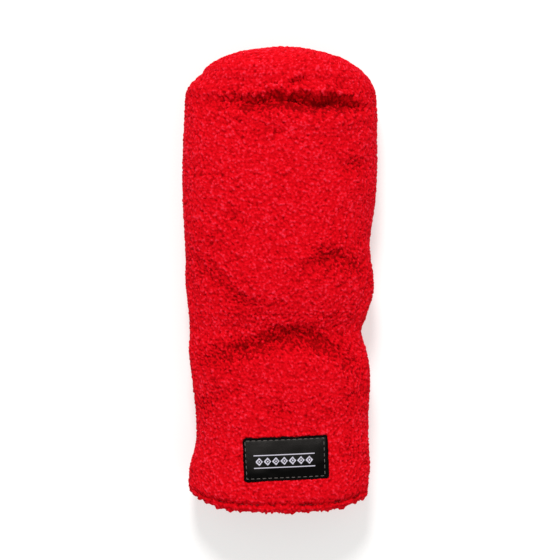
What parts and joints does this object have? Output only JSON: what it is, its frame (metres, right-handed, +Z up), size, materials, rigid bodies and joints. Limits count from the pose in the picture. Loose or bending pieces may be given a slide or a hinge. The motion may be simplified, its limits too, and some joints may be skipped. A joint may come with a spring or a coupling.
{
  "type": "golf club headcover",
  "caption": "Soft pile-fleece sleeve, closed and domed at one end and open at the other, that slips over the head of a golf wood and grips its shaft with a gathered neck.",
  "frame": {"origin": "on the surface that the cover lies on, below the middle of the cover's length and width", "axes": "+X towards the right side seam seen from the front, +Y from the mouth to the closed crown, +Z up out of the front panel"},
  "size_m": [0.133, 0.32, 0.054],
  "materials": {
    "sherpa_red": "curly sherpa pile, matte with a soft pink sheen",
    "lining": "black brushed knit, matte",
    "elastic": "white braided elastic, matte",
    "label_black": "black damask weave with a faint satin sheen",
    "thread_red": "spun polyester thread",
    "thread_black": "spun polyester thread, slightly faded"
  },
  "bodies": {
    "root": {"outer_front_panel": "sherpa_red", "outer_back_panel": "sherpa_red", "outer_crown_panel": "sherpa_red", "lining_front_panel": "lining", "lining_back_panel": "lining", "lining_crown_panel": "lining", "neck_elastic": "elastic", "neck_elastic_stitching": "thread_red", "woven_label": "label_black", "label_stitching": "thread_black", "left_side_seam_thread": "thread_red", "right_side_seam_thread": "thread_red", "crown_seam_thread": "thread_red", "hem_stitching": "thread_red", "lining_left_seam_thread": "thread_black", "lining_right_seam_thread": "thread_black", "lining_crown_seam_thread": "thread_black"}
  },
  "joints": []
}
